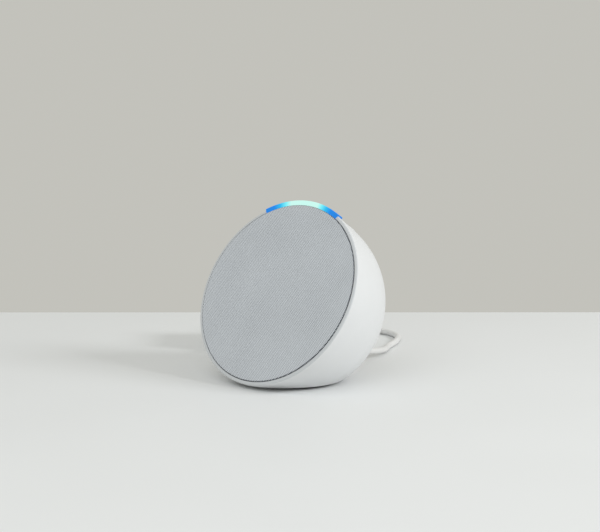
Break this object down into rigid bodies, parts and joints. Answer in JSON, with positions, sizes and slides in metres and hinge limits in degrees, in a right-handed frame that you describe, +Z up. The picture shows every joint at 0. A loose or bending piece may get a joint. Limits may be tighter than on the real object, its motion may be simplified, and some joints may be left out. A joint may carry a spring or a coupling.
{
  "type": "smart speaker",
  "caption": "Compact half-round desk speaker with a tilted fabric face, a glowing light bar on its rim, top buttons, a rubber foot and a mains lead.",
  "frame": {"origin": "centre of the underside of the rubber foot, straight below the shell's centre, on the surface that it stands on", "axes": "+Z up, -Y out of the front where the fabric face looks, +X to the right seen from the front"},
  "size_m": [0.1636, 0.1691, 0.0916],
  "materials": {
    "shell": "fine matt, slightly soft to the touch",
    "foot": "matt rubber",
    "black_plastic": "matt black moulding",
    "fabric": "fine blue-grey knitted mesh",
    "light_bar": "milky diffuser, lit blue at its ends and pale in the middle",
    "lamp": "clear",
    "circuit": "solder mask",
    "screw": "blackened",
    "bright_metal": "zinc plated",
    "gold": "plated",
    "copper": "enamelled wire",
    "driver_frame": "stamped and painted",
    "magnet": "sintered",
    "cone": "pressed, fine grain",
    "spider": "treated cloth",
    "black_rubber": "matt",
    "red_wire": "insulated wire",
    "chip": "moulded resin",
    "thermal_pad": "soft pad",
    "heat_sink": "cast",
    "capacitor": "sleeved",
    "connector": "moulded",
    "ribbon": "flexible film",
    "cord": "smooth white jacket",
    "cord_plastic": "moulded white",
    "tie": "woven hook and loop strip",
    "adapter": "white moulding"
  },
  "bodies": {
    "housing": {"housing_shell": "shell", "rubber_foot": "foot", "base_screws": "screw", "base_cradle": "black_plastic", "front_grille": "black_plastic", "fabric_cover": "fabric", "light_bar": "light_bar", "light_bar_holder": "black_plastic", "lamp_strip": "circuit", "lamps": "lamp", "button_bracket": "black_plastic", "button_circuit": "circuit", "button_switches": "bright_metal", "microphones": "gold", "microphone_seals": "black_rubber", "baffle": "black_plastic", "baffle_screws": "screw", "chamber_cup": "black_plastic", "chamber_screws": "screw", "driver_gasket": "black_rubber", "driver_frame": "driver_frame", "driver_screws": "screw", "driver_terminals": "gold", "speaker_wires": "red_wire", "magnet": "magnet", "top_plate": "bright_metal", "yoke": "bright_metal", "spider": "spider", "surround": "black_rubber", "main_board": "circuit", "board_screws": "screw", "processor": "chip", "memory_chips": "chip", "shield_can": "bright_metal", "thermal_pad": "thermal_pad", "heat_sink": "heat_sink", "capacitors": "capacitor", "inductors": "chip", "board_connectors": "connector", "antennas": "gold", "button_ribbon": "ribbon", "power_board": "circuit", "power_socket": "chip", "power_wires": "black_rubber", "power_plug": "cord_plastic", "plug_relief": "cord_plastic", "cord_lead": "cord", "cord_coil": "cord", "cord_tie": "tie", "adapter_case": "adapter", "adapter_cover": "adapter", "adapter_blades": "bright_metal", "adapter_relief": "cord_plastic"},
    "diaphragm": {"cone": "cone", "dust_cap": "cone", "coil_former": "gold", "voice_coil": "copper"},
    "volume_down": {"volume_down_button": "shell"},
    "microphone_off": {"microphone_button": "shell"},
    "volume_up": {"volume_up_button": "shell"}
  },
  "joints": [
    {"name": "cone_slide", "type": "slide", "parent": "housing", "child": "diaphragm", "axis": [0, -0.891, 0.454], "range_m": [-0.0015, 0.0015], "stiffness_N_per_m": 1200, "deforming": ["surround", "spider"]},
    {"name": "volume_down_press", "type": "slide", "parent": "housing", "child": "volume_down", "axis": [0.3733, -0.4934, -0.7856], "range_m": [0, 0.0005], "stiffness_N_per_m": 600},
    {"name": "microphone_off_press", "type": "slide", "parent": "housing", "child": "microphone_off", "axis": [0, -0.5264, -0.8503], "range_m": [0, 0.0005], "stiffness_N_per_m": 600},
    {"name": "volume_up_press", "type": "slide", "parent": "housing", "child": "volume_up", "axis": [-0.3733, -0.4934, -0.7856], "range_m": [0, 0.0005], "stiffness_N_per_m": 600}
  ]
}
